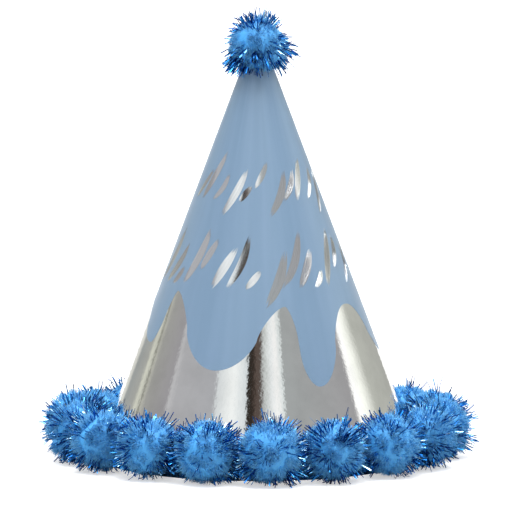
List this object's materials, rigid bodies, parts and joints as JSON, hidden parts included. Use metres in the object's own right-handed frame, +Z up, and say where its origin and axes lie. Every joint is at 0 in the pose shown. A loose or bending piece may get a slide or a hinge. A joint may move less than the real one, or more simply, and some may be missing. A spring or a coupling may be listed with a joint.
{
  "type": "party hat",
  "caption": "Cone party hat of rolled card with mirror foil, a printed coat that ends in drips, tinsel pompoms glued round the rim and one on the tip.",
  "frame": {"origin": "on the surface that the hat stands on, under the middle of the cone", "axes": "+Z up along the cone's axis to the tip; the front of the print faces -Y and the glued seam is at the back, +Y"},
  "size_m": [0.1608, 0.1614, 0.1677],
  "materials": {
    "card": "uncoated white board, matt",
    "mirror_foil": "silver metallised film, mirror bright, laminated on the board",
    "blue_print": "light blue printed coat, satin",
    "blue_tinsel": "fluffy blue fibre mixed with metallic tinsel strips",
    "blue_thread": "twisted thread, dull",
    "hot_glue": "set hot melt glue, milky, satin"
  },
  "bodies": {
    "root": {"cone_card": "card", "foil_laminate": "mirror_foil", "printed_drip_coat": "blue_print", "rim_pompom_01": "blue_tinsel", "rim_pompom_tie_01": "blue_thread", "rim_glue_dot_01": "hot_glue", "rim_pompom_02": "blue_tinsel", "rim_pompom_tie_02": "blue_thread", "rim_glue_dot_02": "hot_glue", "rim_pompom_03": "blue_tinsel", "rim_pompom_tie_03": "blue_thread", "rim_glue_dot_03": "hot_glue", "rim_pompom_04": "blue_tinsel", "rim_pompom_tie_04": "blue_thread", "rim_glue_dot_04": "hot_glue", "rim_pompom_05": "blue_tinsel", "rim_pompom_tie_05": "blue_thread", "rim_glue_dot_05": "hot_glue", "rim_pompom_06": "blue_tinsel", "rim_pompom_tie_06": "blue_thread", "rim_glue_dot_06": "hot_glue", "rim_pompom_07": "blue_tinsel", "rim_pompom_tie_07": "blue_thread", "rim_glue_dot_07": "hot_glue", "rim_pompom_08": "blue_tinsel", "rim_pompom_tie_08": "blue_thread", "rim_glue_dot_08": "hot_glue", "rim_pompom_09": "blue_tinsel", "rim_pompom_tie_09": "blue_thread", "rim_glue_dot_09": "hot_glue", "rim_pompom_10": "blue_tinsel", "rim_pompom_tie_10": "blue_thread", "rim_glue_dot_10": "hot_glue", "rim_pompom_11": "blue_tinsel", "rim_pompom_tie_11": "blue_thread", "rim_glue_dot_11": "hot_glue", "rim_pompom_12": "blue_tinsel", "rim_pompom_tie_12": "blue_thread", "rim_glue_dot_12": "hot_glue", "rim_pompom_13": "blue_tinsel", "rim_pompom_tie_13": "blue_thread", "rim_glue_dot_13": "hot_glue", "rim_pompom_14": "blue_tinsel", "rim_pompom_tie_14": "blue_thread", "rim_glue_dot_14": "hot_glue", "rim_pompom_15": "blue_tinsel", "rim_pompom_tie_15": "blue_thread", "rim_glue_dot_15": "hot_glue", "rim_pompom_16": "blue_tinsel", "rim_pompom_tie_16": "blue_thread", "rim_glue_dot_16": "hot_glue", "rim_pompom_17": "blue_tinsel", "rim_pompom_tie_17": "blue_thread", "rim_glue_dot_17": "hot_glue", "rim_pompom_18": "blue_tinsel", "rim_pompom_tie_18": "blue_thread", "rim_glue_dot_18": "hot_glue", "tip_pompom": "blue_tinsel", "tip_pompom_tie": "blue_thread", "tip_glue_plug": "hot_glue"}
  },
  "joints": []
}
